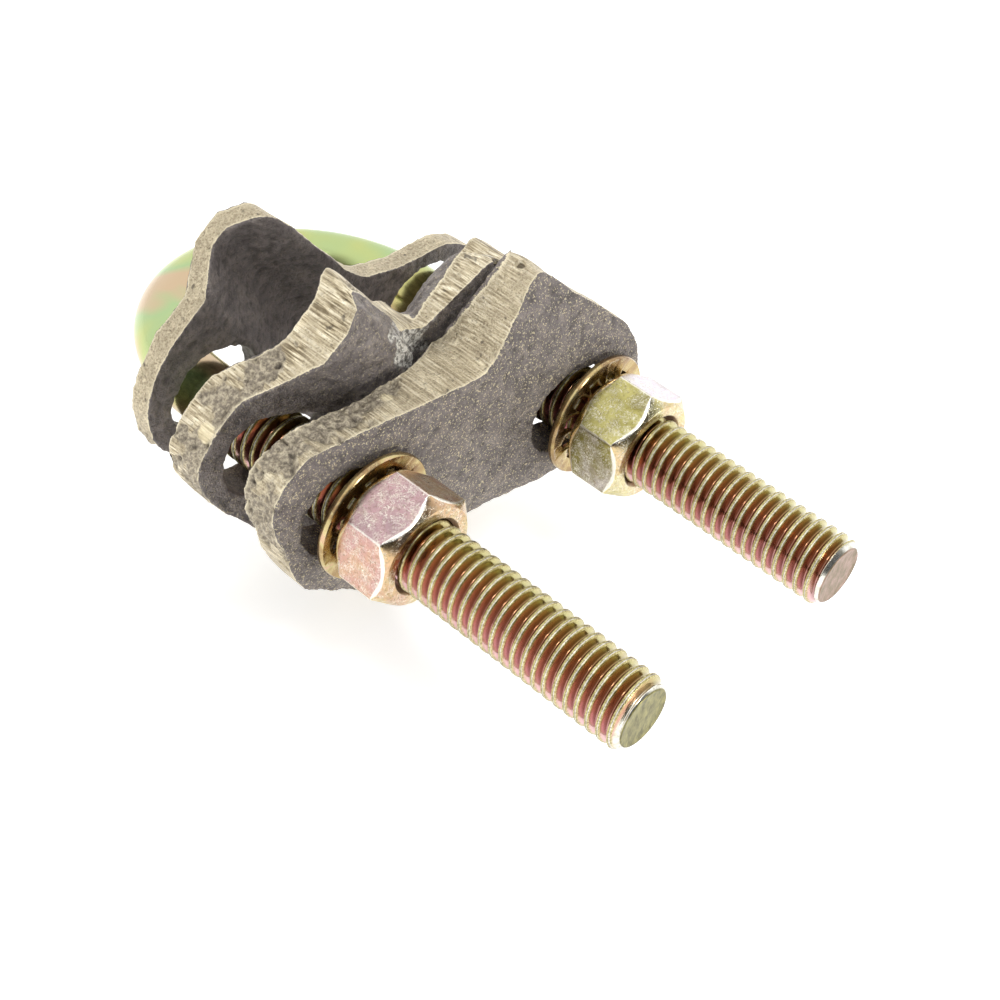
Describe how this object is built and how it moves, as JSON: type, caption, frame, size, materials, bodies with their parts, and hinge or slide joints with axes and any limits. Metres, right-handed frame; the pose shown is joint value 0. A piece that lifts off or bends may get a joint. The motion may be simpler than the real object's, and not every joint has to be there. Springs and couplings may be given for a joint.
{
  "type": "ground clamp",
  "caption": "U-bolt ground clamp: cast bronze saddles on a threaded U-bolt grip a ground rod and, across it, a cable, drawn together by hex nuts over lock washers.",
  "frame": {"origin": "middle of the bounding box, on the lowest level of the castings' lobes", "axes": "+X from the left leg to the right leg of the U-bolt, +Y from the threaded ends to the bend, +Z normal to the plane of the U-bolt"},
  "size_m": [0.0646, 0.0958, 0.046],
  "materials": {
    "cast_bronze": "rough sand-cast skin, dark brown-grey, with ground bright edges",
    "u_bolt_zinc": "glossy yellow-chromate zinc plate with green and pink iridescence",
    "nut_zinc": "yellow-chromate zinc plate, scuffed, with pink and green iridescence",
    "washer_zinc": "yellow-chromate zinc plate, satin"
  },
  "bodies": {
    "u_bolt": {"u_bolt": "u_bolt_zinc"},
    "rear_saddle": {"rear_saddle": "cast_bronze"},
    "front_saddle": {"front_saddle": "cast_bronze"},
    "middle_saddle": {"middle_saddle": "cast_bronze"},
    "left_washer": {"left_lock_washer": "washer_zinc"},
    "right_washer": {"right_lock_washer": "washer_zinc"},
    "left_nut": {"left_nut": "nut_zinc"},
    "right_nut": {"right_nut": "nut_zinc"}
  },
  "joints": [
    {"name": "left_washer_slide", "type": "slide", "parent": "u_bolt", "child": "left_washer", "axis": [0, -1, 0], "range_m": [0, 0.0318]},
    {"name": "left_nut_turn", "type": "hinge", "parent": "left_washer", "child": "left_nut", "pos_m": [-0.01795, -0.0109, 0.023], "axis": [0, -1, 0], "range_deg": [0, 7200]},
    {"name": "right_washer_slide", "type": "slide", "parent": "u_bolt", "child": "right_washer", "axis": [0, -1, 0], "range_m": [0, 0.0287]},
    {"name": "right_nut_turn", "type": "hinge", "parent": "right_washer", "child": "right_nut", "pos_m": [0.02015, -0.0141, 0.023], "axis": [0, -1, 0], "range_deg": [0, 6480]},
    {"name": "front_saddle_slide", "type": "slide", "parent": "u_bolt", "child": "front_saddle", "axis": [0, 1, 0], "range_m": [0, 0.0025]},
    {"name": "middle_saddle_slide", "type": "slide", "parent": "front_saddle", "child": "middle_saddle", "axis": [0, 1, 0], "range_m": [0, 0.002]},
    {"name": "rear_saddle_slide", "type": "slide", "parent": "u_bolt", "child": "rear_saddle", "axis": [0, 1, 0], "range_m": [-0.002, 0.006]}
  ],
  "couplings": [
    {"joint": "left_washer_slide", "follows": "left_nut_turn", "m_per_rad": 0.00025266},
    {"joint": "right_washer_slide", "follows": "right_nut_turn", "m_per_rad": 0.00025266}
  ]
}
